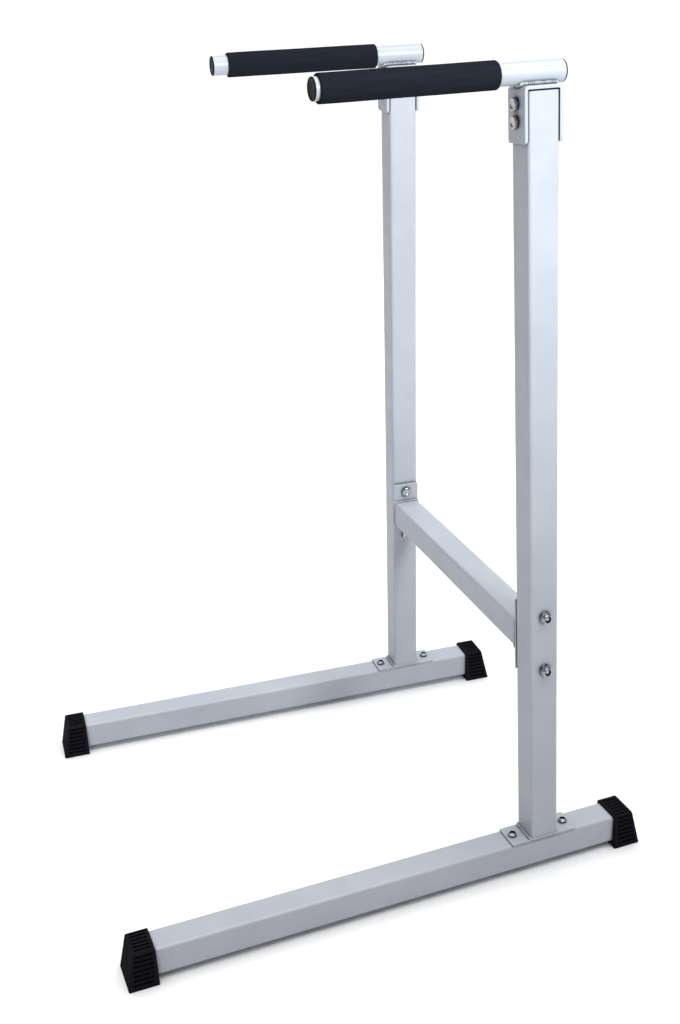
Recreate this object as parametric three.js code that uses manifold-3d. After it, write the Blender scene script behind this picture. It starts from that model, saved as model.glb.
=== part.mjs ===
// A free-standing dip stand: two side frames, joined by one bolted crossbar, that carry a pair of
// parallel padded handles. Millimetres, +Z up. The handles reach forward to -Y, the right-hand side
// frame is on +X, and the foot caps stand on z = 0.
import * as THREE from 'three';
import { ConvexGeometry } from 'three/addons/geometries/ConvexGeometry.js';
import { mergeVertices } from 'three/addons/utils/BufferGeometryUtils.js';
import Module from 'manifold-3d';

const wasm = await Module();
wasm.setup();

const GAP = 0.3; // clearance kept between pieces that touch

// Square frame tube
const TUBE = 50;
const TUBE_WALL = 2;
const TUBE_CORNER = 5;

// Stance of the two side frames
const FRAME_SPACING = 640; // between the base tubes, under the uprights
const LEAN_IN = THREE.MathUtils.degToRad(2.6); // uprights lean towards each other
const TOE_OUT = THREE.MathUtils.degToRad(2.2); // front ends are further apart

// Base tube and its flared foot caps
const SOLE = 11; // cap material under the tube
const BASE_FRONT = -717;
const BASE_REAR = 169;
const BASE_TOP = SOLE + TUBE;
const CAP = {
  depth: 32, // length of tube inside the cap
  height: BASE_TOP + 4,
  topWidth: 56,
  topLength: 36.5,
  soleWidth: 69,
  soleLength: 49.5,
};

// Foot plate, welded under the upright and bolted down on the base tube
const FOOT_PLATE = { length: 122, thickness: 2.5, corner: 1.5 };
const FOOT_BOLT_REACH = 49;

// Upright, with heights measured along it from the top of the base tube
const POST_TOP = 1223.9;
const POST_PLUG = { width: 46.5, flange: 1.6, depth: 8, wall: 0.4 };

// Handle bracket, a flat bar bent over the top of the upright
const BRACKET = { thickness: 5, leg: 78, bend: 7 };
const BRACKET_TOP = POST_TOP + POST_PLUG.flange + BRACKET.thickness + 2 * GAP;
const BRACKET_BOLT_DROPS = { upper: 24, lower: 48.5 };

// Handle tube, its end plugs and its foam grip
const HANDLE = { radius: 15.9, wall: 2, front: -332, rear: 41 };
const HANDLE_UP = BRACKET_TOP + GAP + HANDLE.radius;
const HANDLE_PLUG = { flange: 2, depth: 16 };
const GRIP = { radius: 20.2, length: 264, edge: 1.5 };
const GRIP_FRONT = { right: -326, left: -307 };

// Crossbar and its welded end plates
const CROSSBAR_HEIGHT = 431;
const CROSSBAR_UP = (CROSSBAR_HEIGHT - BASE_TOP) / Math.cos(LEAN_IN);
const END_PLATE = { height: 126, thickness: 5, corner: 1.5 };
const CROSSBAR_BOLT_REACH = 47.5;

// Hexagon fasteners
const M10 = { radius: 5, flats: 17, head: 6.4, nut: 9.5, washerRadius: 10, washer: 2 };
const M10_LOW = { radius: 5, flats: 17, head: 6.4, nut: 8 }; // on the brackets, without washers
const M8 = { radius: 4, flats: 13, head: 5.3, nut: 6.5 };
const BOLT_SHORT = 2.5; // a bolt's end stays this far inside its nut

const X = new THREE.Vector3(1, 0, 0);
const Y = new THREE.Vector3(0, 1, 0);
const Z = new THREE.Vector3(0, 0, 1);

const paint = { color: 0xb4b9c6, roughness: 0.42, metalness: 0.15 };
const zinc = { color: 0xc9ccd0, roughness: 0.28, metalness: 1 };
const foam = { color: 0x121316, roughness: 0.85, metalness: 0 };
const plastic = { color: 0x1b1b1d, roughness: 0.5, metalness: 0 };
const rubber = { color: 0x202023, roughness: 0.75, metalness: 0 };

// Boolean helpers ------------------------------------------------------------------------------

function solidOf(geometry) {
  const bare = geometry.clone();
  bare.deleteAttribute('normal');
  bare.deleteAttribute('uv');
  const merged = mergeVertices(bare, 1e-4);
  return new wasm.Manifold(new wasm.Mesh({
    numProp: 3,
    vertProperties: new Float32Array(merged.attributes.position.array),
    triVerts: new Uint32Array(merged.index.array),
  }));
}

function geometryOf(solid) {
  const { vertProperties, triVerts } = solid.getMesh();
  const geometry = new THREE.BufferGeometry();
  geometry.setAttribute('position', new THREE.BufferAttribute(vertProperties, 3));
  geometry.setIndex(new THREE.BufferAttribute(triVerts, 1));
  return geometry;
}

function cut(geometry, cutters) {
  const cutOnce = (solid, cutter) => solid.subtract(solidOf(cutter));
  return geometryOf(cutters.reduce(cutOnce, solidOf(geometry)));
}

function join(first, second) {
  return geometryOf(solidOf(first).add(solidOf(second)));
}

// Basic shapes, each with its axis or thickness along +Z ---------------------------------------

function roundedRectangle(width, height, corner, Outline = THREE.Shape) {
  const x = width / 2 - corner;
  const y = height / 2 - corner;
  const outline = new Outline();
  outline.absarc(x, y, corner, 0, Math.PI / 2);
  outline.absarc(-x, y, corner, Math.PI / 2, Math.PI);
  outline.absarc(-x, -y, corner, Math.PI, 1.5 * Math.PI);
  outline.absarc(x, -y, corner, 1.5 * Math.PI, 2 * Math.PI);
  outline.closePath();
  return outline;
}

function extrude(shape, from, to, curveSegments = 4) {
  const options = { depth: to - from, bevelEnabled: false, curveSegments };
  return new THREE.ExtrudeGeometry(shape, options).translate(0, 0, from);
}

function rod(radius, from, to, segments = 24) {
  const length = to - from;
  const cylinder = new THREE.CylinderGeometry(radius, radius, length, segments);
  return cylinder.rotateX(Math.PI / 2).translate(0, 0, from + length / 2);
}

function squareTube(from, to) {
  const bore = TUBE - 2 * TUBE_WALL;
  const section = roundedRectangle(TUBE, TUBE, TUBE_CORNER);
  section.holes.push(roundedRectangle(bore, bore, TUBE_CORNER - TUBE_WALL, THREE.Path));
  return extrude(section, from, to);
}

function hexagon(flats) {
  const corner = flats / 2 / Math.cos(Math.PI / 6);
  const points = [0, 1, 2, 3, 4, 5].map((turn) => {
    const angle = turn * Math.PI / 3;
    return new THREE.Vector2(corner * Math.cos(angle), corner * Math.sin(angle));
  });
  return new THREE.Shape(points);
}

function ring(shape, boreRadius, thickness) {
  const bore = new THREE.Path();
  bore.absarc(0, 0, boreRadius, 0, 2 * Math.PI, true);
  shape.holes.push(bore);
  return extrude(shape, 0, thickness, 12);
}

function lathe(profile, segments = 40) {
  const points = profile.map(([radius, height]) => new THREE.Vector2(radius, height));
  return new THREE.LatheGeometry(points, segments).rotateX(Math.PI / 2);
}

// A head from below z = 0 and a shank up to z = length
function boltGeometry(size, length) {
  const head = extrude(hexagon(size.flats), -size.head, 0);
  return join(head, rod(size.radius, -size.head / 2, length));
}

function nutGeometry(size) {
  return ring(hexagon(size.flats), size.radius + GAP, size.nut);
}

function washerGeometry(size) {
  const disc = new THREE.Shape();
  disc.absarc(0, 0, size.washerRadius, 0, 2 * Math.PI);
  return ring(disc, size.radius + GAP, size.washer);
}

// Placing ---------------------------------------------------------------------------------------

function turned(geometry, axis) {
  return geometry.applyQuaternion(new THREE.Quaternion().setFromUnitVectors(Z, axis));
}

function add(group, name, geometry, look, place = [0, 0, 0]) {
  const mesh = new THREE.Mesh(geometry, new THREE.MeshStandardMaterial(look));
  mesh.name = name;
  mesh.position.set(...place);
  group.add(mesh);
  return mesh;
}

// A clearance hole for a bolt that runs along an axis through a point
function boltHole(size, axis, at, reach = TUBE) {
  return turned(rod(size.radius + GAP, -reach, reach), axis).translate(...at);
}

// Bolt, nut and perhaps a washer along `axis`. The grip is the clamped thickness, centred on `at`.
function addFastener(group, name, size, axis, at, grip) {
  const washer = size.washer ? size.washer + GAP : 0;
  const seat = grip / 2 + GAP;
  const length = 2 * seat + washer + size.nut - BOLT_SHORT;
  const shift = (distance) => at.map((value, i) => value + axis.getComponent(i) * distance);
  add(group, `${name}_bolt`, turned(boltGeometry(size, length), axis), zinc, shift(-seat));
  if (size.washer) {
    add(group, `${name}_washer`, turned(washerGeometry(size), axis), zinc, shift(seat));
  }
  add(group, `${name}_nut`, turned(nutGeometry(size), axis), zinc, shift(seat + washer));
}

// Base ------------------------------------------------------------------------------------------

const footBoltPoints = { front: [0, -FOOT_BOLT_REACH, 0], rear: [0, FOOT_BOLT_REACH, 0] };

function baseTube() {
  const tube = squareTube(BASE_FRONT, BASE_REAR).rotateX(-Math.PI / 2);
  return cut(tube, Object.values(footBoltPoints).map((point) => boltHole(M8, Z, point)));
}

// A flared block with its mouth at y = 0 and its end face towards +Y
function footCap() {
  const corners = [-1, 1].flatMap((side) => [
    new THREE.Vector3(side * CAP.soleWidth / 2, 0, 0),
    new THREE.Vector3(side * CAP.soleWidth / 2, CAP.soleLength, 0),
    new THREE.Vector3(side * CAP.topWidth / 2, 0, CAP.height),
    new THREE.Vector3(side * CAP.topWidth / 2, CAP.topLength, CAP.height),
  ]);
  const across = TUBE + 2 * GAP;
  const mouth = roundedRectangle(across, across, TUBE_CORNER + GAP);
  const pocket = extrude(mouth, -1, CAP.depth + GAP).rotateX(-Math.PI / 2);
  return cut(new ConvexGeometry(corners), [pocket.translate(0, 0, SOLE + TUBE / 2)]);
}

function footPlate() {
  const { length, thickness, corner } = FOOT_PLATE;
  const plate = extrude(roundedRectangle(TUBE, length, corner), 0, thickness);
  return cut(plate, Object.values(footBoltPoints).map((point) => boltHole(M8, Z, point)));
}

function addBase(frame, side) {
  add(frame, `${side}_base_tube`, baseTube(), paint, [0, 0, SOLE + TUBE / 2]);
  const rear = add(frame, `${side}_base_cap_rear`, footCap(), rubber);
  rear.position.y = BASE_REAR - CAP.depth;
  const front = add(frame, `${side}_base_cap_front`, footCap(), rubber);
  front.position.y = BASE_FRONT + CAP.depth;
  front.rotation.z = Math.PI;
  add(frame, `${side}_foot_plate`, footPlate(), paint, [0, 0, BASE_TOP + GAP]);
  const clamped = TUBE + FOOT_PLATE.thickness + GAP;
  for (const [end, [x, y]] of Object.entries(footBoltPoints)) {
    const middle = [x, y, SOLE + clamped / 2];
    addFastener(frame, `${side}_foot_${end}`, M8, Z, middle, clamped);
  }
}

// Upright ---------------------------------------------------------------------------------------

const bracketBoltPoints = {
  upper: [0, 0, BRACKET_TOP - BRACKET_BOLT_DROPS.upper],
  lower: [0, 0, BRACKET_TOP - BRACKET_BOLT_DROPS.lower],
};
const crossbarBoltPoints = {
  upper: [0, 0, CROSSBAR_UP + CROSSBAR_BOLT_REACH],
  lower: [0, 0, CROSSBAR_UP - CROSSBAR_BOLT_REACH],
};

// The foot of the leaning tube is cut level, on top of the foot plate
function upright(post) {
  const floor = new THREE.BoxGeometry(4 * TUBE, 4 * TUBE, TUBE);
  floor.translate(0, 0, BASE_TOP + FOOT_PLATE.thickness + 2 * GAP - TUBE / 2);
  floor.applyMatrix4(post.matrix.clone().invert());
  return cut(squareTube(0, POST_TOP), [
    floor,
    ...Object.values(bracketBoltPoints).map((point) => boltHole(M10, Y, point)),
    ...Object.values(crossbarBoltPoints).map((point) => boltHole(M10, X, point)),
  ]);
}

function uprightPlug() {
  const { width, depth, wall } = POST_PLUG;
  const across = TUBE - 2 * (TUBE_WALL + wall);
  const flange = extrude(roundedRectangle(width, width, TUBE_CORNER), 0, POST_PLUG.flange);
  const stem = roundedRectangle(across, across, TUBE_CORNER - TUBE_WALL - wall);
  return join(flange, extrude(stem, -depth, POST_PLUG.flange / 2));
}

// An upside-down U, drawn in the Y-Z plane with its top at z = 0 and extruded along X
function bracket() {
  const { thickness, leg, bend } = BRACKET;
  const inside = TUBE / 2 + GAP;
  const outside = inside + thickness;
  const outline = new THREE.Shape();
  outline.moveTo(outside, -leg);
  outline.absarc(outside - bend, -bend, bend, 0, Math.PI / 2);
  outline.absarc(bend - outside, -bend, bend, Math.PI / 2, Math.PI);
  outline.lineTo(-outside, -leg);
  outline.lineTo(-inside, -leg);
  outline.absarc(bend - outside, -bend, bend - thickness, Math.PI, Math.PI / 2, true);
  outline.absarc(outside - bend, -bend, bend - thickness, Math.PI / 2, 0, true);
  outline.lineTo(inside, -leg);
  outline.closePath();
  const bar = extrude(outline, -TUBE / 2, TUBE / 2, 6).rotateX(Math.PI / 2).rotateZ(Math.PI / 2);
  const drops = Object.values(BRACKET_BOLT_DROPS);
  return cut(bar, drops.map((drop) => boltHole(M10, Y, [0, 0, -drop])));
}

// Handle ----------------------------------------------------------------------------------------

function handleTube() {
  const { radius, wall, front, rear } = HANDLE;
  const profile = [
    [radius - wall, -rear],
    [radius, -rear],
    [radius, -front],
    [radius - wall, -front],
    [radius - wall, -rear],
  ];
  return lathe(profile);
}

// A round plug with its flange on z = 0 and its stem inside the tube, below
function handlePlug() {
  const stem = HANDLE.radius - HANDLE.wall - GAP;
  const edge = HANDLE_PLUG.flange / 2;
  return lathe([
    [0, -HANDLE_PLUG.depth],
    [stem, -HANDLE_PLUG.depth],
    [stem, 0],
    [HANDLE.radius, 0],
    [HANDLE.radius, edge],
    [HANDLE.radius - edge, HANDLE_PLUG.flange],
    [0, HANDLE_PLUG.flange],
  ]);
}

// A foam sleeve from z = 0 down to z = -length
function handleGrip() {
  const { radius, length, edge } = GRIP;
  const bore = HANDLE.radius + GAP;
  return lathe([
    [bore, -length],
    [radius - edge, -length],
    [radius, edge - length],
    [radius, -edge],
    [radius - edge, 0],
    [bore, 0],
    [bore, -length],
  ]);
}

function addHandle(post, side) {
  const forward = Y.clone().negate();
  const tube = turned(handleTube(), forward);
  add(post, `${side}_handle_tube`, tube, paint, [0, 0, HANDLE_UP]);
  const frontPlug = turned(handlePlug(), forward);
  const frontFace = [0, HANDLE.front - GAP, HANDLE_UP];
  add(post, `${side}_handle_plug_front`, frontPlug, plastic, frontFace);
  const rearPlug = turned(handlePlug(), Y);
  const rearFace = [0, HANDLE.rear + GAP, HANDLE_UP];
  add(post, `${side}_handle_plug_rear`, rearPlug, plastic, rearFace);
  const grip = turned(handleGrip(), forward);
  add(post, `${side}_grip`, grip, foam, [0, GRIP_FRONT[side], HANDLE_UP]);
}

function addUpright(post, side, outward) {
  add(post, `${side}_upright`, upright(post), paint);
  add(post, `${side}_upright_plug`, uprightPlug(), plastic, [0, 0, POST_TOP + GAP]);
  add(post, `${side}_handle_bracket`, bracket(), paint, [0, 0, BRACKET_TOP]);
  const bracketGrip = TUBE + 2 * (GAP + BRACKET.thickness);
  for (const [level, point] of Object.entries(bracketBoltPoints)) {
    addFastener(post, `${side}_bracket_${level}`, M10_LOW, Y, point, bracketGrip);
  }
  const plateGrip = TUBE + GAP + END_PLATE.thickness;
  const inset = (TUBE - plateGrip) / 2;
  for (const [level, [x, y, z]] of Object.entries(crossbarBoltPoints)) {
    const middle = [x + outward.x * inset, y, z];
    addFastener(post, `${side}_crossbar_${level}`, M10, outward, middle, plateGrip);
  }
}

// Crossbar --------------------------------------------------------------------------------------

function addEndPlate(post, side, outward) {
  const { height, thickness, corner } = END_PLATE;
  const plate = turned(extrude(roundedRectangle(TUBE, height, corner), 0, thickness), X);
  const holes = [-1, 1].map((end) => boltHole(M10, X, [0, 0, end * CROSSBAR_BOLT_REACH]));
  const inwardFace = outward.x * (TUBE / 2 + GAP);
  const x = outward.x > 0 ? -inwardFace - thickness : -inwardFace;
  const geometry = cut(plate.rotateX(Math.PI / 2), holes);
  return add(post, `${side}_end_plate`, geometry, paint, [x, 0, CROSSBAR_UP]);
}

// The bar runs straight across and is mitred to the end plates, which follow the uprights
function crossbar(plates) {
  const bar = turned(squareTube(-FRAME_SPACING / 2, FRAME_SPACING / 2), X);
  const centre = new THREE.Vector3().setFromMatrixPosition(plates[0].matrixWorld);
  bar.translate(0, centre.y, centre.z);
  const ends = plates.map((plate, i) => {
    const block = new THREE.BoxGeometry(TUBE, 4 * TUBE, 4 * TUBE);
    const inward = i === 0 ? -1 : 1;
    const face = i === 0 ? -GAP : END_PLATE.thickness + GAP;
    return block.translate(face - inward * TUBE / 2, 0, 0).applyMatrix4(plate.matrixWorld);
  });
  return cut(bar, ends);
}

// Assembly --------------------------------------------------------------------------------------

function sideFrame(side, outward) {
  const frame = new THREE.Group();
  frame.position.x = outward.x * FRAME_SPACING / 2;
  frame.rotation.z = outward.x * TOE_OUT;
  addBase(frame, side);
  const post = new THREE.Group();
  post.position.z = BASE_TOP;
  post.rotation.y = -outward.x * LEAN_IN;
  post.updateMatrix();
  frame.add(post);
  addUpright(post, side, outward);
  addHandle(post, side);
  const plate = addEndPlate(post, side, outward);
  frame.updateMatrixWorld(true);
  return { frame, plate };
}

const right = sideFrame('right', X);
const left = sideFrame('left', X.clone().negate());
const stand = new THREE.Group();
stand.add(right.frame, left.frame);
add(stand, 'crossbar', crossbar([right.plate, left.plate]), paint);

// The origin is on the floor, under the middle of the whole stand
const box = new THREE.Box3().setFromObject(stand, true);
stand.position.y = -(box.min.y + box.max.y) / 2;
const model = new THREE.Group();
model.add(stand);
model.updateMatrixWorld(true);

export default model;
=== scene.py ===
"""Looks of a free-standing dip stand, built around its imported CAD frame.

Two side frames of powder-coated square tube stand on ribbed rubber caps. A bolted crossbar joins
them, and each carries a foam-gripped handle tube on a bent bracket. Shapes are worked out in
millimetres in three local spaces, and placed in the row frame in metres: a side frame's own space
(its upright stands at the origin, +Y to the rear), the leaning upright's own space (+Z along the
upright, from the top of the base tube), and the row frame itself for the crossbar.
"""
from math import atan2, cos, hypot, pi, radians, sin, sqrt, tan

import bpy
import numpy as np
from mathutils import Matrix, Vector


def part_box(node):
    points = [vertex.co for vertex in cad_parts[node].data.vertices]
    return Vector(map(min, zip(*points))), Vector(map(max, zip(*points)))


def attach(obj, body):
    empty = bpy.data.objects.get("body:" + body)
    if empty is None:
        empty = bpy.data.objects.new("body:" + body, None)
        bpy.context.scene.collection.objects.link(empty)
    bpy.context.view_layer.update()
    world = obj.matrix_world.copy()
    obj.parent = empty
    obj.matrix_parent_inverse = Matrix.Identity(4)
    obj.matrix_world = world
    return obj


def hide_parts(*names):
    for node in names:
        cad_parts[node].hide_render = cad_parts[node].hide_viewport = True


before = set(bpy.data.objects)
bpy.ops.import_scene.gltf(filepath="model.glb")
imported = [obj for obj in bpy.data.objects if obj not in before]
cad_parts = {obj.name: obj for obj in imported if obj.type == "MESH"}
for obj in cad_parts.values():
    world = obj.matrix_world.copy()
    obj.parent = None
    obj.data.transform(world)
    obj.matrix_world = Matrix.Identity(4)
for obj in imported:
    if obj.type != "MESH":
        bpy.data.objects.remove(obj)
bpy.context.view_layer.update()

MM = 0.001

# The design's driving dimensions, in millimetres and degrees, as in the CAD
TUBE = 50
TUBE_WALL = 2
TUBE_CORNER = 5
FRAME_SPACING = 640
LEAN_IN = radians(2.6)
TOE_OUT = radians(2.2)
SOLE = 11
BASE_TOP = SOLE + TUBE
BASE_FRONT, BASE_REAR = -717, 169
CAP_DEPTH, CAP_HEIGHT = 32, 65
CAP_TOP_WIDTH, CAP_SOLE_WIDTH = 56, 69
CAP_TOP_LENGTH, CAP_SOLE_LENGTH = 36.5, 49.5
FOOT_PLATE_LENGTH, FOOT_PLATE_THICKNESS = 122, 2.5
FOOT_BOLT_REACH = 49
POST_TOP = 1223.9
POST_PLUG_WIDTH, POST_PLUG_FLANGE, POST_PLUG_DEPTH = 46.5, 1.6, 8
BRACKET_THICKNESS, BRACKET_LEG, BRACKET_BEND = 5, 78, 7
BRACKET_BOLT_DROPS = {"upper": 24, "lower": 48.5}
HANDLE_RADIUS, HANDLE_WALL = 15.9, 2
HANDLE_FRONT, HANDLE_REAR = -332, 41
HANDLE_PLUG_FLANGE, HANDLE_PLUG_DEPTH = 2, 16
GRIP_RADIUS, GRIP_LENGTH = 20.2, 264
GRIP_FRONT = {"right": -326, "left": -307}
CROSSBAR_HEIGHT = 431
END_PLATE_HEIGHT, END_PLATE_THICKNESS = 126, 5
CROSSBAR_BOLT_REACH = 47.5
PLATE_CORNER = 1.5
GAP = 0.3

BRACKET_TOP = POST_TOP + POST_PLUG_FLANGE + BRACKET_THICKNESS + 2 * GAP
HANDLE_UP = BRACKET_TOP + GAP + HANDLE_RADIUS
CROSSBAR_UP = (CROSSBAR_HEIGHT - BASE_TOP) / cos(LEAN_IN)

# Hexagon fasteners: shank radius, width across flats, head, nut and washer
M10 = {"radius": 5, "flats": 17, "head": 6.4, "nut": 9.5, "pitch": 1.5, "washer": 2, "rim": 10}
M10_LOW = {"radius": 5, "flats": 17, "head": 6.4, "nut": 8, "pitch": 1.5, "washer": 0, "rim": 0}
M8 = {"radius": 4, "flats": 13, "head": 5.3, "nut": 6.5, "pitch": 1.25, "washer": 0, "rim": 0}
BOLT_SHORT = 2.5

# Proportions of a hexagon fastener, as shares of its width across flats, and of the nut's collar
CHAMFER_START = 0.475
SEAT_RADIUS = 0.485
COLLAR_RADIUS = 0.45
COLLAR_LIP = 0.76
CHAMFER_ANGLE = radians(30)
# Points round each ring of a fastener: a multiple of six, so that a hexagon's corners get points
FASTENER_POINTS = 48

# Tread on a foot cap's ribbed faces. It runs over a share of the length from mouth to end face.
GROOVE_PITCH, GROOVE_WIDTH, GROOVE_DEPTH = 8.2, 4.0, 1.9
GROOVE_WALL = 0.9
GROOVE_BORDER = 6
GROOVE_START, GROOVE_STOP, GROOVE_END_SLOPE = 0.14, 0.88, 0.03

# Radii of the weld beads, and of the paint bridging the foot plate's seams
FOOT_WELD, HANDLE_WELD, CROSSBAR_WELD = 3.2, 4.2, 2.5
FOOT_SEAM = 1.3

SIDES = {"right": 1, "left": -1}
BODY = "stand"
rng = np.random.default_rng(7)

# The row frame's origin is under the middle of the stand, so the uprights stand a little behind it
crossbar_low, crossbar_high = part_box("crossbar")
end_plate_low, end_plate_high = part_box("right_end_plate")
INNER_FACE_OFFSET = FRAME_SPACING / 2 - (end_plate_low.x + end_plate_high.x) / 2 / MM
UPRIGHT_Y = (end_plate_low.y + end_plate_high.y) / 2 + INNER_FACE_OFFSET * sin(TOE_OUT) * MM


# Places ----------------------------------------------------------------------------------------

def frame_space(side):
    """From a side frame's own space in millimetres to the row frame in metres."""
    turn = SIDES[side]
    place = Matrix.Translation((turn * FRAME_SPACING / 2 * MM, UPRIGHT_Y, 0))
    return place @ Matrix.Rotation(turn * TOE_OUT, 4, "Z") @ Matrix.Scale(MM, 4)


def post_space(side):
    """From the leaning upright's space in millimetres to the row frame in metres."""
    lean = Matrix.Rotation(-SIDES[side] * LEAN_IN, 4, "Y")
    return frame_space(side) @ Matrix.Translation((0, 0, BASE_TOP)) @ lean


def along(axis, at=(0, 0, 0)):
    """Turns a shape drawn along +Z so that it runs along an axis from a point."""
    turn = Vector((0, 0, 1)).rotation_difference(Vector(axis)).to_matrix().to_4x4()
    return Matrix.Translation(at) @ turn


# Meshes ----------------------------------------------------------------------------------------

def ring(points, height):
    """A closed outline of (x, y) points, lifted to a height."""
    outline = np.asarray(points, float)
    return np.column_stack([outline, np.full(len(outline), float(height))])


def rounded_square(width, height, corner, steps=7, hold=1.2):
    """Points of a rounded rectangle. A point beside each arc keeps the flats' shading flat."""
    points = []
    centre_x, centre_y = width / 2 - corner, height / 2 - corner
    for quarter, (sx, sy) in enumerate([(1, 1), (-1, 1), (-1, -1), (1, -1)]):
        middle = np.array([sx * centre_x, sy * centre_y])
        angles = np.linspace(quarter, quarter + 1, steps) * pi / 2
        arc = [middle + corner * np.array([cos(a), sin(a)]) for a in angles]
        first, last = angles[0], angles[-1]
        before = arc[0] + hold * np.array([sin(first), -cos(first)])
        after = arc[-1] - hold * np.array([sin(last), -cos(last)])
        points += [before, *arc, after]
    return np.array(points)


def circle(radius, count=64):
    angles = np.arange(count) * 2 * pi / count
    return radius * np.column_stack([np.cos(angles), np.sin(angles)])


def hexagon(flats):
    """A hexagon's outline with points along its sides, so that rings of circles can meet it."""
    angles = np.arange(FASTENER_POINTS) * 2 * pi / FASTENER_POINTS
    from_flat = (angles + pi / 6) % (pi / 3) - pi / 6
    radius = flats / 2 / np.cos(from_flat)
    return np.column_stack([radius * np.cos(angles), radius * np.sin(angles)])


def surface(rings, looped=False):
    """Vertices and faces through a row of rings, which either meet the first again or end closed."""
    count = len(rings[0])
    vertices = np.concatenate(rings)
    faces = []
    pairs = [(i, i + 1) for i in range(len(rings) - 1)]
    if looped:
        pairs.append((len(rings) - 1, 0))
    for low, high in pairs:
        for i in range(count):
            j = (i + 1) % count
            faces.append((low * count + i, low * count + j, high * count + j, high * count + i))
    if not looped:
        faces.append(tuple(range(count - 1, -1, -1)))
        top = (len(rings) - 1) * count
        faces.append(tuple(range(top, top + count)))
    return vertices, faces


def piece(name, shape, place, material, replaces=(), body=BODY, sharp=35):
    """A mesh object in the row frame that rides on a body."""
    vertices, faces = shape
    mesh = bpy.data.meshes.new(name)
    mesh.from_pydata([place @ Vector(v) for v in vertices], [], faces)
    mesh.validate()
    mesh.polygons.foreach_set("use_smooth", [True] * len(mesh.polygons))
    mesh.set_sharp_from_angle(angle=radians(sharp))
    mesh.materials.append(material)
    obj = bpy.data.objects.new(name, mesh)
    bpy.context.scene.collection.objects.link(obj)
    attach(obj, body)
    if replaces:
        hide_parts(*replaces)
    return obj


def inset(points, amount):
    """An outline drawn in towards its centre, by about an amount on each side."""
    points = np.asarray(points, float)
    size = np.abs(points).max(axis=0)
    return points * (size - amount) / size


# Node materials --------------------------------------------------------------------------------

def new_material(name, color, roughness, metallic=0.0):
    """A principled material, its node tree's makers and its object-space coordinates."""
    material = bpy.data.materials.new(name)
    material.use_nodes = True
    nodes = material.node_tree.nodes
    shader = nodes["Principled BSDF"]
    shader.inputs["Base Color"].default_value = (*color, 1)
    shader.inputs["Roughness"].default_value = roughness
    shader.inputs["Metallic"].default_value = metallic
    place = nodes.new("ShaderNodeTexCoord").outputs["Object"]
    return material, shader, place


def add_node(material, kind, inputs=None, **settings):
    """A node whose inputs are linked or set, by name or number, and whose own settings are set."""
    node = material.node_tree.nodes.new(kind)
    for key, value in settings.items():
        setattr(node, key, value)
    for key, value in (inputs or {}).items():
        if isinstance(value, bpy.types.NodeSocket):
            material.node_tree.links.new(value, node.inputs[key])
        else:
            node.inputs[key].default_value = value
    return node


def noise(material, place, scale, detail=3.0, rough=0.55):
    """Noise with a number of features per metre."""
    values = {"Vector": place, "Scale": scale, "Detail": detail, "Roughness": rough}
    return add_node(material, "ShaderNodeTexNoise", values).outputs["Fac"]


def spread(material, value, low, high, start=0.3, end=0.7):
    """Maps a value from start..end to low..high."""
    values = {"Value": value, "From Min": start, "From Max": end, "To Min": low, "To Max": high}
    return add_node(material, "ShaderNodeMapRange", values).outputs["Result"]


def tint(material, factor, first, second):
    node = add_node(material, "ShaderNodeMix", {"Factor": factor}, data_type="RGBA")
    for socket, color in zip([s for s in node.inputs if s.type == "RGBA"], (first, second)):
        if isinstance(color, bpy.types.NodeSocket):
            material.node_tree.links.new(color, socket)
        else:
            socket.default_value = (*color, 1)
    return [s for s in node.outputs if s.type == "RGBA"][0]


def bump(material, heights, strength=1.0):
    """Chains (height, distance in metres) pairs into one normal."""
    normal = None
    for height, distance in heights:
        values = {"Height": height, "Distance": distance, "Strength": strength}
        if normal:
            values["Normal"] = normal
        normal = add_node(material, "ShaderNodeBump", values).outputs["Normal"]
    return normal


def wire(material, shader, **sockets):
    for name, value in sockets.items():
        material.node_tree.links.new(value, shader.inputs[name.replace("_", " ")])


def sheltered(material, reach, hidden, clear):
    """From 1 where nearby surfaces leave a share of the sky, hidden, down to 0 where they leave clear."""
    sky = add_node(material, "ShaderNodeAmbientOcclusion", {"Distance": reach}, samples=16)
    return spread(material, sky.outputs["AO"], 1, 0, hidden, clear)


def edge_mask(material, width):
    """Near 1 on convex and concave edges, from how far a rounded normal leaves the true one."""
    rounded = add_node(material, "ShaderNodeBevel", {"Radius": width}, samples=4)
    flat = add_node(material, "ShaderNodeNewGeometry").outputs["Normal"]
    turn = add_node(material, "ShaderNodeVectorMath", {0: rounded.outputs[0], 1: flat},
                    operation="DOT_PRODUCT")
    return spread(material, turn.outputs["Value"], 1.0, 0.0, 0.72, 0.97)


def powder_coat():
    """Silver-grey powder coat: orange peel, faint clouding, chipped edges, and painted shade darkening its
    joints and inner corners.
    """
    material, shader, place = new_material("powder_coat", (0.52, 0.55, 0.62), 0.4, 0.08)
    clouds = noise(material, place, 9, 4)
    color = tint(material, spread(material, clouds, 0, 1), (0.395, 0.415, 0.465), (0.445, 0.46, 0.505))
    edges = edge_mask(material, 0.0012)
    flecks = noise(material, place, 160, 5, 0.7)
    chips = add_node(material, "ShaderNodeMath", {0: edges, 1: spread(material, flecks, 0, 1, 0.69, 0.71)},
                     operation="MULTIPLY").outputs["Value"]
    color = tint(material, chips, color, (0.16, 0.155, 0.15))
    # painted shade: a dark tint where nearby surfaces block the sky, in joints, at weld toes and under plate
    # edges
    seam_shade = sheltered(material, 0.009, 0.38, 0.9)
    color = tint(material, seam_shade, color, (0.085, 0.088, 0.1))
    peel = noise(material, place, 700, 2)
    grain = noise(material, place, 2600, 1)
    rough = spread(material, noise(material, place, 35, 4), 0.34, 0.48)
    normal = bump(material, [(peel, 0.00006), (grain, 0.00001)], 0.6)
    wire(material, shader, Base_Color=color, Roughness=rough, Normal=normal)
    shader.inputs["Specular IOR Level"].default_value = 0.22
    return material


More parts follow.
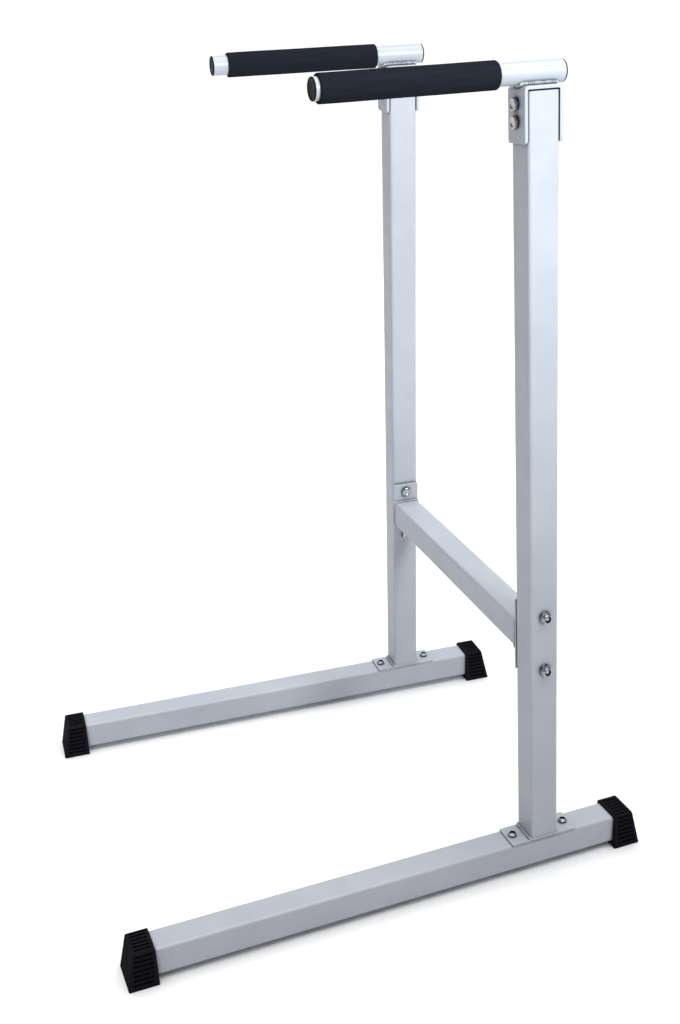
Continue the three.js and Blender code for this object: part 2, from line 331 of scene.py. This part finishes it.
def zinc_plate():
    """Bright zinc on the fasteners, with faint turning marks, duller patches and painted shade in the
    recesses.
    """
    material, shader, place = new_material("zinc_plate", (0.72, 0.73, 0.75), 0.25, 1.0)
    patches = noise(material, place, 300, 4)
    color = tint(material, spread(material, patches, 0, 1), (0.34, 0.35, 0.37), (0.52, 0.53, 0.54))
    edges = edge_mask(material, 0.0006)
    color = tint(material, edges, color, (0.72, 0.72, 0.71))
    # painted shade: a near-black tint in recesses and at the base of heads and nuts, where nearby surfaces
    # block the sky
    recess_shade = sheltered(material, 0.006, 0.52, 0.94)
    color = tint(material, recess_shade, color, (0.03, 0.032, 0.037))
    rough = spread(material, noise(material, place, 700, 3), 0.14, 0.30)
    marks = noise(material, place, 2200, 2)
    wire(material, shader, Base_Color=color, Roughness=rough,
         Normal=bump(material, [(marks, 0.00003)], 0.5))
    return material


def grip_foam():
    """Closed-cell foam with a soft skin, fine pores and faint lengthwise rub marks."""
    material, shader, place = new_material("grip_foam", (0.016, 0.017, 0.022), 0.62)
    stretched = add_node(material, "ShaderNodeMapping", {"Vector": place, "Scale": (1.0, 0.06, 1.0)})
    rubs = noise(material, stretched.outputs["Vector"], 260, 4)
    color = tint(material, spread(material, rubs, 0, 1), (0.0105, 0.0115, 0.0165), (0.013, 0.0145, 0.0205))
    pores = add_node(material, "ShaderNodeTexVoronoi", {"Vector": place, "Scale": 1500.0})
    skin = noise(material, place, 500, 4)
    rough = spread(material, noise(material, place, 60, 4), 0.6, 0.78)
    heights = [(pores.outputs["Distance"], 0.00006), (skin, 0.00010), (rubs, 0.00001)]
    wire(material, shader, Base_Color=color, Roughness=rough,
         Normal=bump(material, heights, 0.7))
    shader.inputs["IOR"].default_value = 1.04
    return material


def black_plastic():
    """Satin moulded plastic of the plugs and nut inserts."""
    material, shader, place = new_material("black_plastic", (0.02, 0.02, 0.023), 0.4)
    mottled = noise(material, place, 120, 4)
    color = tint(material, spread(material, mottled, 0, 1), (0.009, 0.009, 0.011), (0.018, 0.018, 0.022))
    rough = spread(material, noise(material, place, 220, 3), 0.32, 0.5)
    shader.inputs["IOR"].default_value = 1.1
    fine = noise(material, place, 1800, 2)
    wire(material, shader, Base_Color=color, Roughness=rough,
         Normal=bump(material, [(fine, 0.00004)], 0.6))
    return material


def foot_rubber():
    """Matte black rubber: dusty and greyer towards the floor, edges lightened as wear and as a painted
    highlight, and painted shade in its grooves.
    """
    material, shader, place = new_material("foot_rubber", (0.014, 0.014, 0.016), 0.6)
    mottled = noise(material, place, 90, 5)
    color = tint(material, spread(material, mottled, 0, 1),
                 (0.0085, 0.0085, 0.0112), (0.0125, 0.0125, 0.0160))
    height = add_node(material, "ShaderNodeSeparateXYZ", {"Vector": place}).outputs["Z"]
    dust = add_node(material, "ShaderNodeMath",
                    {0: spread(material, height, 0.5, 0.0, 0.0, 0.018),
                     1: spread(material, noise(material, place, 240, 5), 0, 1, 0.4, 0.75)},
                    operation="MULTIPLY").outputs["Value"]
    color = tint(material, dust, color, (0.016, 0.0155, 0.015))
    # edge wear and painted highlight: a lighter grey along the rib edges
    color = tint(material, spread(material, edge_mask(material, 0.0009), 0, 0.6, 0, 1), color,
                 (0.030, 0.030, 0.036))
    # painted shade: a near-black tint deep in the grooves, where the ribs block the sky
    grooves = sheltered(material, 0.006, 0.66, 0.92)
    color = tint(material, grooves, color, (0.0008, 0.0008, 0.0012))
    shader.inputs["IOR"].default_value = 1.03
    rough = spread(material, noise(material, place, 150, 3), 0.5, 0.72)
    grain = noise(material, place, 1600, 3)
    wire(material, shader, Base_Color=color, Roughness=rough,
         Normal=bump(material, [(grain, 0.00008)], 0.7))
    return material


# Sheet metal and tube --------------------------------------------------------------------------

def square_tube_rings(end_height, wall=TUBE_WALL, lip=0.4):
    """Outer and inner rings of a square tube. end_height(x, y, end) gives where each end is."""
    bore = TUBE - 2 * wall
    outer = rounded_square(TUBE, TUBE, TUBE_CORNER)
    inner = rounded_square(bore, bore, TUBE_CORNER - wall)
    stations = [(inset(outer, lip), 0, 0), (outer, 0, lip), (outer, 0, 3), (outer, 1, 3),
                (outer, 1, lip), (inset(outer, lip), 1, 0), (inner, 1, 0), (inner, 0, 0)]
    rings = []
    for outline, end, back in stations:
        sign = -1 if end else 1
        heights = [end_height(x, y, end) + sign * back for x, y in outline]
        rings.append(np.column_stack([outline, heights]))
    return rings


def straight_ends(start, stop):
    return lambda x, y, end: stop if end else start


def bevelled_plate(outline, thickness, edge=0.6):
    """A flat plate from z = 0 up, with softened edges."""
    hold = min(1.5, thickness / 3)
    return surface([
        ring(inset(outline, 2 * (edge + hold)), 0),
        ring(inset(outline, 2 * edge), 0),
        ring(inset(outline, 0.6 * edge), 0.3 * edge),
        ring(outline, edge),
        ring(outline, thickness - edge),
        ring(inset(outline, 0.6 * edge), thickness - 0.3 * edge),
        ring(inset(outline, 2 * edge), thickness),
        ring(inset(outline, 2 * (edge + hold)), thickness),
    ])


def tube_wide_plate(length, thickness):
    """A bevelled plate as wide as the frame tube."""
    return bevelled_plate(rounded_square(TUBE, length, PLATE_CORNER, hold=0.8), thickness)


def weld_bead(path, radius, ripple_length=2.6):
    """A rippled bead round a closed path of points, as a tube whose radius swells with each ripple."""
    path = [Vector(p) for p in path]
    step, points = 0.55, 12
    smoothing = 13
    stations = []
    for a, b in zip(path, path[1:] + path[:1]):
        count = round((b - a).length / step)
        stations += [a.lerp(b, i / count) for i in range(count)]
    count = len(stations)
    middle = sum(stations, Vector()) / count
    normal = sum(((a - middle).cross(b - middle) for a, b in zip(stations, stations[1:])), Vector())
    normal.normalize()
    wander = np.convolve(rng.normal(0, 1, count + smoothing - 1), np.ones(smoothing) / smoothing,
                         mode="valid")
    rings = []
    for i, at in enumerate(stations):
        forward = (stations[(i + 1) % count] - stations[i - 1]).normalized()
        across = normal.cross(forward)
        phase = (i * step / ripple_length) % 1
        swell = radius * (0.88 + 0.16 * sqrt(1 - phase) + 0.35 * float(wander[i]))
        rings.append(np.array([at + across * float(x) + normal * float(y) for x, y in circle(swell, points)]))
    return surface(rings, looped=True)


# Base ------------------------------------------------------------------------------------------

def build_base_tube(side, looks):
    tube = surface(square_tube_rings(straight_ends(BASE_FRONT, BASE_REAR)), looped=True)
    place = frame_space(side) @ along((0, 1, 0), (0, 0, SOLE + TUBE / 2))
    name = f"{side}_base_tube"
    piece(f"{name}_skin", tube, place, looks["paint"], [name])


def square_radius(angle, half, corner):
    """Distance from the middle of a rounded square to its outline, in a direction."""
    across, up = abs(cos(angle)), abs(sin(angle))
    flat = half / max(across, up)
    if min(across, up) * flat <= half - corner:
        return flat
    middle = half - corner
    along_ray = middle * (across + up)
    return along_ray + sqrt(max(0, along_ray ** 2 - 2 * middle ** 2 + corner ** 2))


def cap_outline():
    """The cap's section seen from its end: (x, z, distance along the ribbed face, which face)."""
    top, bottom = CAP_TOP_WIDTH / 2, CAP_SOLE_WIDTH / 2
    round_top, round_sole = 4.0, 2.0
    side_points, corner_points = 76, 6
    lean = (bottom - top) / CAP_HEIGHT
    points = []
    for z in np.linspace(round_sole, CAP_HEIGHT - round_top, side_points):
        points.append((bottom - lean * z, z, z))
    for turn in np.linspace(0.1, 0.9, corner_points) * pi / 2:
        x = top - round_top + round_top * cos(turn) + lean * round_top
        points.append((x, CAP_HEIGHT - round_top + round_top * sin(turn), None))
    for x in np.linspace(top - round_top, round_top - top, 60):
        points.append((x, CAP_HEIGHT, x + top))
    mirrored = [(-x, z, along_face) for x, z, along_face in points[:side_points + corner_points]]
    points += mirrored[::-1]
    for turn in np.linspace(0, 1, 5)[1:]:
        angle = pi + turn * pi / 2
        points.append((-bottom + round_sole + round_sole * cos(angle),
                       round_sole + round_sole * sin(angle), None))
    for x in np.linspace(round_sole - bottom, bottom - round_sole, 20)[1:]:
        points.append((x, 0, None))
    for turn in np.linspace(0, 1, 5)[1:-1]:
        angle = 1.5 * pi + turn * pi / 2
        points.append((bottom - round_sole + round_sole * cos(angle),
                       round_sole + round_sole * sin(angle), None))
    return points


def groove_depth(distance, share):
    """How deep the groove between two ribs is, at a place on a ribbed face of the cap."""
    if distance is None or distance < GROOVE_BORDER or not GROOVE_START < share < GROOVE_STOP:
        return 0
    from_middle = abs((distance - GROOVE_BORDER) % GROOVE_PITCH - GROOVE_PITCH / 2)
    wall = np.clip((GROOVE_WIDTH / 2 - from_middle) / GROOVE_WALL, 0, 1)
    from_end = min(share - GROOVE_START, GROOVE_STOP - share)
    return GROOVE_DEPTH * wall * np.clip(from_end / GROOVE_END_SLOPE, 0, 1)


def cap_ring(outline, share, shrink=0.0):
    """One section of the cap. share is 0 at the mouth and 1 on the sloping end face."""
    rings = []
    middle = Vector((0, CAP_HEIGHT / 2))
    for x, z, distance in outline:
        length = CAP_SOLE_LENGTH + (CAP_TOP_LENGTH - CAP_SOLE_LENGTH) * z / CAP_HEIGHT
        depth = float(groove_depth(distance, share) + shrink)
        on_top = z >= CAP_HEIGHT - 0.01
        inward = Vector((0, -1)) if on_top else Vector((-1 if x > 0 else 1, 0))
        if distance is None:
            inward = (middle - Vector((x, z))).normalized()
        point = Vector((x, z)) + inward * depth
        rings.append((point.x, share * length, max(point.y, 0)))
    return np.array(rings)


def foot_cap():
    """A cap from the bottom of its pocket, round its mouth, and along its outside to its end face."""
    outline = cap_outline()
    flare = 1.012
    centre = SOLE + TUBE / 2
    half = TUBE / 2 + GAP
    angles = [atan2(z - centre, x) for x, z, _ in outline]
    mouth = [square_radius(a, half, TUBE_CORNER + GAP) for a in angles]
    pocket = [(r * cos(a), centre + r * sin(a)) for r, a in zip(mouth, angles)]
    rings = [np.array([(x, depth, z) for x, z in pocket]) for depth in (CAP_DEPTH + GAP, 0.6)]
    rings.append(np.array([(flare * x, 0, centre + flare * (z - centre)) for x, z in pocket]))
    rings.append(cap_ring(outline, 0, 0.7))
    for share in (0.014, 0.05, 0.13, 0.15, 0.17, 0.2, 0.4, 0.6, 0.82, 0.85, 0.87, 0.89, 0.95):
        rings.append(cap_ring(outline, share))
    for share, shrink in ((0.975, 0.15), (0.99, 0.6), (0.998, 1.3), (1.0, 2.2), (1.0, 4.0)):
        rings.append(cap_ring(outline, share, shrink))
    return surface(rings)


def build_foot_caps(side, looks):
    for end, y, turn in (("front", BASE_FRONT + CAP_DEPTH, pi), ("rear", BASE_REAR - CAP_DEPTH, 0)):
        place = frame_space(side) @ Matrix.Translation((0, y, 0)) @ Matrix.Rotation(turn, 4, "Z")
        name = f"{side}_base_cap_{end}"
        piece(f"{name}_skin", foot_cap(), place, looks["rubber"], [name], sharp=50)


def build_foot_plate(side, looks):
    plate = tube_wide_plate(FOOT_PLATE_LENGTH, FOOT_PLATE_THICKNESS)
    place = frame_space(side) @ Matrix.Translation((0, 0, BASE_TOP + GAP))
    name = f"{side}_foot_plate"
    piece(f"{name}_skin", plate, place, looks["paint"], [name])


def weld_outline():
    """A line just outside the frame tube, for the bead round it."""
    return rounded_square(TUBE + 1.2, TUBE + 1.2, TUBE_CORNER, steps=5)


def build_foot_weld(side, looks):
    """The bead round the upright, on the foot plate and kept within its width."""
    height = BASE_TOP + GAP + FOOT_PLATE_THICKNESS + 0.8
    limit = TUBE / 2 - 1.5
    path = [(np.clip(x, -limit, limit), y, height) for x, y in weld_outline()]
    bead = weld_bead(path, FOOT_WELD)
    piece(f"{side}_foot_weld", bead, frame_space(side), looks["paint"])


def build_foot_seams(side, looks):
    """Paint that bridges the grooves between the foot plate and the base tube's rounded corners."""
    reach = FOOT_PLATE_LENGTH / 2 - PLATE_CORNER
    profile = [(0.4, -reach - 1), (1, -reach), (1, reach), (0.4, reach + 1)]
    seam = surface([ring(circle(share * FOOT_SEAM, 16), y) for share, y in profile])
    for name, turn in (("inner", -SIDES[side]), ("outer", SIDES[side])):
        at = (turn * (TUBE / 2 - FOOT_SEAM - 0.05), 0, BASE_TOP - 0.6)
        place = frame_space(side) @ along((0, 1, 0), at)
        piece(f"{side}_foot_seam_{name}", seam, place, looks["paint"])


# Upright and bracket ---------------------------------------------------------------------------

def build_upright(side, looks):
    """The square upright, with its foot cut level where it stands on the foot plate."""
    lift = FOOT_PLATE_THICKNESS + 2 * GAP
    slope = -SIDES[side] * tan(LEAN_IN)

    def end_height(x, y, end):
        return POST_TOP if end else lift / cos(LEAN_IN) + slope * x

    tube = surface(square_tube_rings(end_height), looped=True)
    name = f"{side}_upright"
    piece(f"{name}_skin", tube, post_space(side), looks["paint"], [name])


def build_upright_plug(side, looks):
    across = TUBE - 2 * TUBE_WALL - 0.8
    flange = rounded_square(POST_PLUG_WIDTH, POST_PLUG_WIDTH, TUBE_CORNER)
    stem = rounded_square(across, across, TUBE_CORNER - TUBE_WALL)
    rings = [ring(inset(stem, 1), -POST_PLUG_DEPTH), ring(stem, 0.5 - POST_PLUG_DEPTH), ring(stem, 0),
             ring(flange, 0), ring(flange, POST_PLUG_FLANGE - 0.4),
             ring(inset(flange, 0.8), POST_PLUG_FLANGE)]
    place = post_space(side) @ Matrix.Translation((0, 0, POST_TOP + GAP))
    name = f"{side}_upright_plug"
    piece(f"{name}_skin", surface(rings), place, looks["plastic"], [name])


def bracket_path():
    """Middle line of the bent bar in the Y-Z plane: (y, z, outward direction, height above its end)."""
    far_up = 99
    half = TUBE / 2 + GAP + BRACKET_THICKNESS / 2
    bend = BRACKET_BEND - BRACKET_THICKNESS / 2
    low, high = -BRACKET_LEG, -BRACKET_BEND
    leg = [(low + rise, rise) for rise in (0, 0.3, 0.8, 1.6, 2.6, 4, 6, 30, 68)]
    path = [(half, z, 0.0, rise) for z, rise in leg]
    for turn in np.linspace(0, pi / 2, 9):
        path.append((half - bend + bend * cos(turn), high + bend * sin(turn), turn, far_up))
    path.append((0, high + bend, pi / 2, far_up))
    path += [(-y, z, pi - turn, rise) for y, z, turn, rise in path[-2::-1]]
    return path


def bracket_shape():
    """A bar 50 mm wide bent into an upside-down U, with rounded corners on its two feet."""
    foot_corner, edge = 5.0, 0.7
    half_thickness = BRACKET_THICKNESS / 2
    rings = []
    for y, z, turn, rise in bracket_path():
        half_width = TUBE / 2
        if rise < foot_corner:
            half_width += sqrt(foot_corner ** 2 - (foot_corner - rise) ** 2) - foot_corner
        section = rounded_square(2 * half_width, BRACKET_THICKNESS, edge, steps=4, hold=0.5)
        if rise == 0:
            section[:, 1] *= (half_thickness - edge / 2) / half_thickness
        points = [(x, y + t * cos(turn), z + t * sin(turn)) for x, t in section]
        rings.append(np.array(points))
    return surface(rings)


def build_bracket(side, looks):
    place = post_space(side) @ Matrix.Translation((0, 0, BRACKET_TOP))
    name = f"{side}_handle_bracket"
    piece(f"{name}_skin", bracket_shape(), place, looks["paint"], [name])


def build_handle_weld(side, looks):
    """The two fillets between the handle tube and the bracket's top, and a run across each end."""
    reach = TUBE / 2 + 2.5
    out, up = 9.5, BRACKET_TOP + 2.2
    corners = [(out, -reach, up), (out, reach, up), (-out, reach, up), (-out, -reach, up)]
    bead = weld_bead(corners, HANDLE_WELD, ripple_length=3.2)
    piece(f"{side}_handle_weld", bead, post_space(side), looks["paint"])


# Handle ----------------------------------------------------------------------------------------

def sleeve(inner, outer, length, edge, stations=()):
    """A tube wall along +Z with rounded ends, as rings from the bore's start round to its end."""
    start = [(inner, 0.4 * edge), (inner + 0.4 * edge, 0), (outer - edge, 0)]
    round_start = [(outer - edge + edge * sin(a), edge - edge * cos(a))
                   for a in np.linspace(0, pi / 2, 6)[1:]]
    middle = [(outer, z) for z in (edge + 1, *stations, length - edge - 1)]
    finish = [(r, length - z) for r, z in (start + round_start)[::-1]]
    profile = start + round_start + middle + finish
    return surface([ring(circle(r), z) for r, z in profile], looped=True)


def build_handle_tube(side, looks):
    tube = sleeve(HANDLE_RADIUS - HANDLE_WALL, HANDLE_RADIUS, HANDLE_REAR - HANDLE_FRONT, 0.4)
    place = post_space(side) @ along((0, 1, 0), (0, HANDLE_FRONT, HANDLE_UP))
    name = f"{side}_handle_tube"
    piece(f"{name}_skin", tube, place, looks["paint"], [name])


def build_handle_plugs(side, looks):
    """The end plugs: a barbed stem inside the tube, and a dished flange over its end."""
    stem = HANDLE_RADIUS - HANDLE_WALL - GAP
    rim = HANDLE_RADIUS
    flange = HANDLE_PLUG_FLANGE
    floor = flange - 0.7
    profile = [(0.5, -HANDLE_PLUG_DEPTH), (stem - 1, -HANDLE_PLUG_DEPTH), (stem, 1 - HANDLE_PLUG_DEPTH)]
    for back in (12, 8, 4):
        profile += [(stem, -back - 1.2), (stem - 0.7, -back - 0.6), (stem - 0.7, -back + 0.6),
                    (stem, -back + 1.2)]
    profile += [(stem, 0), (rim - 0.2, 0), (rim, 0.2), (rim, 0.7)]
    profile += [(rim - 1.3 + 1.3 * cos(a), 0.7 + 1.3 * sin(a)) for a in np.linspace(0, pi / 2, 6)[1:]]
    profile += [(rim - 3.0, flange), (rim - 3.8, flange - 0.5), (rim - 5, floor),
                (4, floor), (0.5, floor)]
    plug = surface([ring(circle(r), z) for r, z in profile])
    for end, axis, y in (("front", (0, -1, 0), HANDLE_FRONT - GAP), ("rear", (0, 1, 0), HANDLE_REAR + GAP)):
        place = post_space(side) @ along(axis, (0, y, HANDLE_UP))
        name = f"{side}_handle_plug_{end}"
        piece(f"{name}_skin", plug, place, looks["plastic"], [name])


def build_grip(side, looks):
    """The foam sleeve: rounded ends, and a skin that is never quite even."""
    stations = np.linspace(8, GRIP_LENGTH - 8, 60)
    vertices, faces = sleeve(HANDLE_RADIUS + GAP, GRIP_RADIUS, GRIP_LENGTH, 2.2, stations)
    phase = 1.7 * SIDES[side]
    for vertex in vertices:
        x, y, z = vertex
        radius = hypot(x, y)
        if radius > GRIP_RADIUS - 0.5:
            angle = atan2(y, x)
            sag = 0.12 * sin(3 * angle + z / 23 + phase) + 0.1 * sin(2 * angle - z / 41)
            vertex[:2] *= (radius - 0.16 + 0.7 * sag) / radius
    name = f"{side}_grip"
    place = post_space(side) @ along((0, 1, 0), (0, GRIP_FRONT[side], HANDLE_UP))
    foam = piece(f"{name}_foam", (vertices, faces), place, looks["foam"], [name], name)


# Crossbar --------------------------------------------------------------------------------------

def build_end_plate(side, looks):
    plate = tube_wide_plate(END_PLATE_HEIGHT, END_PLATE_THICKNESS)
    inward = -SIDES[side]
    turn = Matrix.Rotation(inward * pi / 2, 4, "Y") @ Matrix.Rotation(pi / 2, 4, "Z")
    at = (inward * (TUBE / 2 + GAP), 0, CROSSBAR_UP)
    place = post_space(side) @ Matrix.Translation(at) @ turn
    name = f"{side}_end_plate"
    piece(f"{name}_skin", plate, place, looks["paint"], [name])


def crossbar_end(side, y, z):
    """Where a line along X at (y, z), in millimetres in the row frame, meets an end plate."""
    space = post_space(side)
    face = -SIDES[side] * (TUBE / 2 + 2 * GAP + END_PLATE_THICKNESS)
    point = space @ Vector((face, 0, CROSSBAR_UP)) / MM
    normal = (space.to_3x3() @ Vector((1, 0, 0))).normalized()
    return point.x - (normal.y * (y - point.y) + normal.z * (z - point.z)) / normal.x


def build_crossbar(looks):
    """The crossbar, cut to meet its leaning end plates, and the bead round each end."""
    middle_y = (crossbar_low.y + crossbar_high.y) / 2 / MM
    middle_z = (crossbar_low.z + crossbar_high.z) / 2 / MM

    def end_x(across, up, end):
        return crossbar_end("right" if end else "left", middle_y + across, middle_z + up)

    rings = [np.column_stack([r[:, 2], r[:, 0] + middle_y, r[:, 1] + middle_z])
             for r in square_tube_rings(end_x)]
    shape = surface(rings, looped=True)
    piece("crossbar_skin", shape, Matrix.Scale(MM, 4), looks["paint"], ["crossbar"])
    limit = TUBE / 2 - 0.4
    for side, turn in SIDES.items():
        path = []
        for across, up in weld_outline():
            y, z = middle_y + np.clip(across, -limit, limit), middle_z + up
            path.append((crossbar_end(side, y, z) - turn * 0.6, y, z))
        bead = weld_bead(path, CROSSBAR_WELD)
        piece(f"{side}_crossbar_weld", bead, Matrix.Scale(MM, 4), looks["paint"])


# Fasteners -------------------------------------------------------------------------------------

def turned(radius, height):
    """One ring of a turned surface."""
    return ring(circle(radius, FASTENER_POINTS), height)


def chamfered(outline, face, rise, rim):
    """A hexagon's outline pulled down by its turned chamfer, which starts at a circle of rim."""
    distance = np.hypot(outline[:, 0], outline[:, 1])
    drop = np.maximum(0, distance - rim) * tan(CHAMFER_ANGLE)
    return np.column_stack([outline, face - rise * drop])


def bolt_shape(size, length):
    """A bolt: chamfered and dished hexagon head below z = 0, shank, and a thread at the far end."""
    flats, head, radius, pitch = (size[k] for k in ("flats", "head", "radius", "pitch"))
    hexed = hexagon(flats)
    rim = CHAMFER_START * flats
    seat = SEAT_RADIUS * flats
    rings = [turned(0.1 * flats, 1.1 - head), turned(0.28 * flats, 1 - head),
             turned(0.36 * flats, 0.15 - head), turned(0.39 * flats, -head), turned(rim, -head),
             chamfered(hexed, -head, -1, rim), ring(hexed, -0.6), ring(0.985 * hexed, -0.25),
             turned(seat, -0.2), turned(seat, 0), turned(radius, 0), turned(radius, length - 6)]
    thread_start, thread_end = length - 5.9, length - 0.9
    depth = 0.55 * pitch
    turns = np.arange(FASTENER_POINTS) / FASTENER_POINTS
    for height in np.arange(thread_start, thread_end, pitch / 6):
        phase = (height / pitch - turns) % 1
        fade = min(1, (height - thread_start) / pitch)
        dip = depth * fade * np.abs(2 * phase - 1)
        rings.append(ring(circle(1, FASTENER_POINTS) * (radius - dip)[:, None], height))
    rings += [turned(radius - depth, length - 0.8), turned(radius - 1.6, length),
              turned(0.3 * radius, length)]
    return surface(rings)


def nut_shape(size):
    """A self-locking nut: chamfered hexagon from z = 0, then the round collar over its insert."""
    flats, height = size["flats"], size["nut"]
    bore = size["radius"] + GAP
    hexed = hexagon(flats)
    rim = CHAMFER_START * flats
    collar = COLLAR_RADIUS * flats
    lip = COLLAR_LIP * collar
    body = 0.72 * height
    curl = 1.2
    rings = [turned(bore, 0.8), turned(bore + 0.7, 0.1), turned(rim, 0), chamfered(hexed, 0, -1, rim),
             chamfered(hexed, body, 1, rim), turned(rim, body), turned(collar, body + 0.1)]
    for turn in np.linspace(0.15, 1, 6) * pi / 2:
        rise = (height - body - 0.4) * sin(turn)
        rings.append(turned(collar - curl + curl * cos(turn), body + 0.4 + rise))
    rings += [turned(lip, height - 0.2), turned(lip, height - 1.9), turned(bore, height - 1.9)]
    return surface(rings, looped=True)


def insert_shape(size):
    """The nylon ring inside the nut's collar."""
    outer = COLLAR_LIP * COLLAR_RADIUS * size["flats"] - 0.05
    inner = size["radius"] - 0.3
    profile = [(inner, 0.3), (inner, 0.9), (inner + 0.3, 1.15), (outer, 1.2), (outer, 0.1),
               (inner + 0.2, 0.1)]
    return surface([turned(r, z) for r, z in profile], looped=True)


def washer_shape(size):
    bore, rim, height = size["radius"] + GAP, size["rim"], size["washer"]
    profile = [(bore, 0.2), (bore, height - 0.3), (bore + 0.3, height), (rim - 0.5, height),
               (rim - 0.1, height - 0.3), (rim, height - 0.7), (rim, 0.2), (rim - 0.2, 0),
               (bore + 0.2, 0)]
    return surface([turned(r, z) for r, z in profile], looped=True)


def build_fastener(name, space, size, axis, at, grip, looks):
    """Bolt, nut and perhaps a washer along an axis, as the CAD places them."""
    washer = size["washer"] + GAP if size["washer"] else 0
    seat = grip / 2 + GAP
    length = 2 * seat + washer + size["nut"] - BOLT_SHORT
    start, axis = Vector(at), Vector(axis)
    turn = Matrix.Rotation(rng.uniform(0, pi / 3), 4, "Z")

    def place(distance):
        return space @ along(axis, start + axis * distance) @ turn

    def metal(part, shape, distance):
        node = f"{name}_{part}"
        piece(f"{node}_skin", shape, place(distance), looks["zinc"], [node], sharp=28)

    metal("bolt", bolt_shape(size, length), -seat)
    if size["washer"]:
        metal("washer", washer_shape(size), seat)
    metal("nut", nut_shape(size), seat + washer)
    top = seat + washer + size["nut"] - 1.85
    piece(f"{name}_nut_insert", insert_shape(size), place(top), looks["plastic"])


def build_fasteners(side, looks):
    outward = (SIDES[side], 0, 0)
    clamped = TUBE + FOOT_PLATE_THICKNESS + GAP
    for end, y in (("front", -FOOT_BOLT_REACH), ("rear", FOOT_BOLT_REACH)):
        at = (0, y, SOLE + clamped / 2)
        build_fastener(f"{side}_foot_{end}", frame_space(side), M8, (0, 0, 1), at, clamped, looks)
    clamped = TUBE + 2 * (GAP + BRACKET_THICKNESS)
    for level, drop in BRACKET_BOLT_DROPS.items():
        at = (0, 0, BRACKET_TOP - drop)
        build_fastener(f"{side}_bracket_{level}", post_space(side), M10_LOW, (0, 1, 0), at, clamped, looks)
    clamped = TUBE + GAP + END_PLATE_THICKNESS
    for level, reach in (("upper", CROSSBAR_BOLT_REACH), ("lower", -CROSSBAR_BOLT_REACH)):
        at = (outward[0] * (TUBE - clamped) / 2, 0, CROSSBAR_UP + reach)
        build_fastener(f"{side}_crossbar_{level}", post_space(side), M10, outward, at, clamped, looks)


# Stage -----------------------------------------------------------------------------------------

def build_floor():
    """A pale, level floor that reaches far behind the stand."""
    material, shader, place = new_material("studio_floor", (0.9, 0.9, 0.9), 0.9)
    soft = noise(material, place, 2, 2)
    wire(material, shader, Base_Color=tint(material, soft, (0.88, 0.88, 0.885), (0.92, 0.92, 0.92)))
    reach = 300.0
    mesh = bpy.data.meshes.new("floor")
    corners = [(-reach, -reach, 0), (reach, -reach, 0), (reach, reach, 0), (-reach, reach, 0)]
    mesh.from_pydata(corners, [], [(0, 1, 2, 3)])
    mesh.materials.append(material)
    floor = bpy.data.objects.new("floor", mesh)
    bpy.context.scene.collection.objects.link(floor)


def add_light(name, kind, at, target, power, color=(1, 1, 1), **settings):
    data = bpy.data.lights.new(name, kind)
    data.energy = power
    data.color = color
    for key, value in settings.items():
        setattr(data, key, value)
    light = bpy.data.objects.new(name, data)
    light.location = at
    light.rotation_euler = (Vector(target) - Vector(at)).to_track_quat("-Z", "Y").to_euler()
    bpy.context.scene.collection.objects.link(light)


def build_lights():
    world = bpy.data.worlds.new("studio")
    world.use_nodes = True
    world.node_tree.nodes["Background"].inputs["Color"].default_value = (0.96, 0.98, 1.0, 1)
    world.node_tree.nodes["Background"].inputs["Strength"].default_value = 0.14
    bpy.context.scene.world = world
    add_light("overhead", "SUN", (0.12, 0.1, 3), (0, 0, 0), 3.4, angle=radians(70))
    add_light("key", "SPOT", (2.6, 0.9, 2.3), (-0.2, 0.3, 1.5), 460, (0.88, 0.97, 1.0),
              shadow_soft_size=0.35, spot_size=radians(54), spot_blend=1.0)
    add_light("backdrop", "AREA", (-4.4, 1.7, 2.6), (0, 0.2, 0.9), 60, (0.86, 0.93, 1.0),
              shape="RECTANGLE", size=6.0, size_y=2.6)


# The camera looks at the stand from its right and a little in front, and slightly down
CAMERA_AZIMUTH = radians(72.0)
CAMERA_ELEVATION = radians(22.97)
CAMERA_ROLL = radians(-2.46)
CAMERA_TARGET = (0.039, 0.030, 0.594)
CAMERA_DISTANCE = 2.209
FOCAL_LENGTH, SENSOR_WIDTH = 45.35, 36


def build_camera():
    data = bpy.data.cameras.new("camera")
    data.lens = FOCAL_LENGTH
    data.sensor_width = SENSOR_WIDTH
    data.clip_end = 1000
    camera = bpy.data.objects.new("camera", data)
    azimuth, elevation = CAMERA_AZIMUTH, CAMERA_ELEVATION
    back = Vector((sin(azimuth) * cos(elevation), -cos(azimuth) * cos(elevation), sin(elevation)))
    right = Vector((cos(azimuth), sin(azimuth), 0))
    turned = Matrix((right, back.cross(right), back)).transposed().to_4x4()
    roll = Matrix.Rotation(CAMERA_ROLL, 4, "Z")
    at = Vector(CAMERA_TARGET) + CAMERA_DISTANCE * back
    camera.matrix_world = Matrix.Translation(at) @ turned @ roll
    bpy.context.scene.collection.objects.link(camera)
    bpy.context.scene.camera = camera


# Everything ------------------------------------------------------------------------------------

def build_stand():
    looks = {"paint": powder_coat(), "zinc": zinc_plate(), "foam": grip_foam(),
             "plastic": black_plastic(), "rubber": foot_rubber()}
    for side in SIDES:
        build_base_tube(side, looks)
        build_foot_caps(side, looks)
        build_foot_plate(side, looks)
        build_foot_weld(side, looks)
        build_foot_seams(side, looks)
        build_upright(side, looks)
        build_upright_plug(side, looks)
        build_bracket(side, looks)
        build_handle_weld(side, looks)
        build_handle_tube(side, looks)
        build_handle_plugs(side, looks)
        build_grip(side, looks)
        build_end_plate(side, looks)
        build_fasteners(side, looks)
    build_crossbar(looks)


build_camera()
build_stand()
build_floor()
build_lights()
bpy.context.scene.view_settings.view_transform = "Standard"
